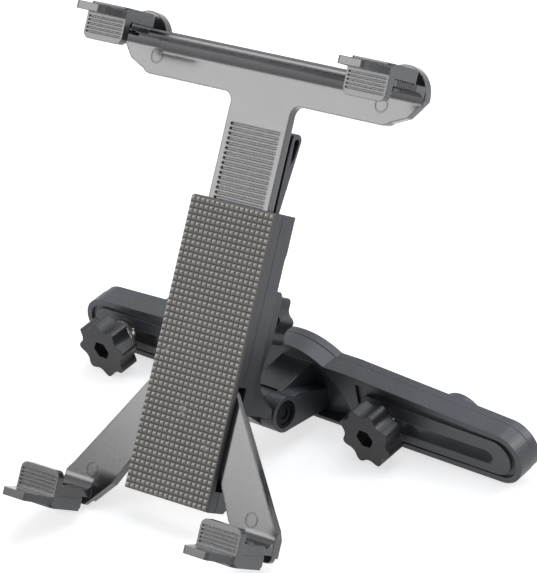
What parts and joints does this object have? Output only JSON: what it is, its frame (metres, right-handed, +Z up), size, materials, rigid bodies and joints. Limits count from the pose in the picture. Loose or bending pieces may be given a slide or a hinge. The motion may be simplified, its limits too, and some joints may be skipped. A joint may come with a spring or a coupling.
{
  "type": "headrest tablet mount",
  "caption": "Tablet holder with a leaning four-claw cradle, a tilt hinge and a slotted clamp bar that grips a car seat's headrest posts.",
  "frame": {"origin": "on the table, under the middle of the clamp bar's front rim", "axes": "+X along the bar to the right, +Y from the cradle towards the bar's rear, +Z up from the table"},
  "size_m": [0.235, 0.1591, 0.1841],
  "materials": {
    "bar_plastic": "moulded charcoal plastic with a low sheen",
    "housing_plastic": "moulded charcoal plastic",
    "bracket_plastic": "moulded dark grey plastic with a polished front",
    "claw_plastic": "moulded dark grey plastic, smooth",
    "knob_plastic": "moulded grey plastic with a soft sheen",
    "pad_rubber": "grey rubber with a pyramid pattern",
    "grip_rubber": "black rubber strip",
    "zinc_steel": "zinc plated steel, turned",
    "black_steel": "black oxide steel",
    "spring_steel": "spring steel",
    "bush_plastic": "natural white acetal"
  },
  "bodies": {
    "bar": {"bar_front": "bar_plastic", "front_grips": "grip_rubber", "hinge_bolt": "black_steel", "hinge_nut": "black_steel"},
    "clamp_half": {"bar_rear": "bar_plastic", "rear_grips": "grip_rubber"},
    "collar_left": {"clamp_collar_left": "zinc_steel"},
    "knob_left": {"clamp_knob_left": "knob_plastic", "clamp_bolt_left": "zinc_steel"},
    "nut_left": {"clamp_nut_left": "zinc_steel"},
    "collar_right": {"clamp_collar_right": "zinc_steel"},
    "knob_right": {"clamp_knob_right": "knob_plastic", "clamp_bolt_right": "zinc_steel"},
    "nut_right": {"clamp_nut_right": "zinc_steel"},
    "adapter_arm": {"adapter": "housing_plastic", "adapter_bush": "bush_plastic"},
    "cradle": {"front_shell": "housing_plastic", "rear_shell": "housing_plastic", "rubber_pad": "pad_rubber", "shell_screws": "zinc_steel", "spin_post": "zinc_steel", "lever_pin": "zinc_steel", "lever_spring": "spring_steel", "leg_screws": "zinc_steel"},
    "spin_knob": {"rear_knob": "knob_plastic", "rear_knob_nut": "zinc_steel"},
    "upper_bracket": {"t_bracket": "bracket_plastic"},
    "lever": {"release_lever": "housing_plastic"},
    "left_leg": {"leg_left": "bracket_plastic"},
    "right_leg": {"leg_right": "bracket_plastic"},
    "upper_left_claw": {"claw_upper_left": "claw_plastic"},
    "upper_right_claw": {"claw_upper_right": "claw_plastic"},
    "lower_left_claw": {"claw_lower_left": "claw_plastic"},
    "lower_right_claw": {"claw_lower_right": "claw_plastic"}
  },
  "joints": [
    {"name": "clamp_open", "type": "slide", "parent": "bar", "child": "clamp_half", "axis": [0, 1, 0], "range_m": [0, 0.009]},
    {"name": "collar_left_slide", "type": "slide", "parent": "bar", "child": "collar_left", "axis": [1, 0, 0], "range_m": [-0.0035, 0.046]},
    {"name": "knob_left_turn", "type": "hinge", "parent": "collar_left", "child": "knob_left", "pos_m": [-0.095, -0.012, 0.013], "axis": [0, 1, 0], "continuous": true},
    {"name": "nut_left_slide", "type": "slide", "parent": "clamp_half", "child": "nut_left", "axis": [1, 0, 0], "range_m": [-0.0035, 0.046]},
    {"name": "collar_right_slide", "type": "slide", "parent": "bar", "child": "collar_right", "axis": [1, 0, 0], "range_m": [-0.002, 0.05]},
    {"name": "knob_right_turn", "type": "hinge", "parent": "collar_right", "child": "knob_right", "pos_m": [0.0486, -0.01, 0.013], "axis": [0, 1, 0], "continuous": true},
    {"name": "nut_right_slide", "type": "slide", "parent": "clamp_half", "child": "nut_right", "axis": [1, 0, 0], "range_m": [-0.002, 0.05]},
    {"name": "cradle_tilt", "type": "hinge", "parent": "bar", "child": "adapter_arm", "pos_m": [0, -0.0207, 0.0185], "axis": [1, 0, 0], "range_deg": [-8, 25]},
    {"name": "cradle_turn", "type": "hinge", "parent": "adapter_arm", "child": "cradle", "pos_m": [0, -0.03733, 0.07616], "axis": [0, 0.788, -0.6157], "continuous": true},
    {"name": "spin_knob_turn", "type": "hinge", "parent": "cradle", "child": "spin_knob", "pos_m": [0, -0.01053, 0.05523], "axis": [0, 0.788, -0.6157], "continuous": true},
    {"name": "bracket_slide", "type": "slide", "parent": "cradle", "child": "upper_bracket", "axis": [-0.0454, 0.615, 0.7872], "range_m": [-0.04, 0.008]},
    {"name": "lever_press", "type": "hinge", "parent": "cradle", "child": "lever", "pos_m": [-0.00129, -0.0116, 0.09219], "axis": [0.999, 0.0279, 0.0357], "range_deg": [-3.5, 0], "stiffness_Nm_per_rad": 0.5, "springref_deg": 2.86},
    {"name": "left_leg_swing", "type": "hinge", "parent": "cradle", "child": "left_leg", "pos_m": [-0.00802, -0.05008, 0.05009], "axis": [0, 0.788, -0.6157], "range_deg": [-4, 4]},
    {"name": "right_leg_swing", "type": "hinge", "parent": "cradle", "child": "right_leg", "pos_m": [0.01056, -0.04956, 0.05076], "axis": [0, 0.788, -0.6157], "range_deg": [-4, 4]},
    {"name": "upper_left_claw_slide", "type": "slide", "parent": "upper_bracket", "child": "upper_left_claw", "axis": [0, -0.788, 0.6157], "range_m": [0, 0.0064]},
    {"name": "upper_right_claw_slide", "type": "slide", "parent": "upper_bracket", "child": "upper_right_claw", "axis": [0, -0.788, 0.6157], "range_m": [0, 0.0064]},
    {"name": "lower_left_claw_slide", "type": "slide", "parent": "left_leg", "child": "lower_left_claw", "axis": [0, -0.788, 0.6157], "range_m": [0, 0.0064]},
    {"name": "lower_right_claw_slide", "type": "slide", "parent": "right_leg", "child": "lower_right_claw", "axis": [0, -0.788, 0.6157], "range_m": [0, 0.0064]}
  ],
  "couplings": [
    {"joint": "nut_left_slide", "follows": "collar_left_slide", "ratio": 1},
    {"joint": "nut_right_slide", "follows": "collar_right_slide", "ratio": 1}
  ]
}
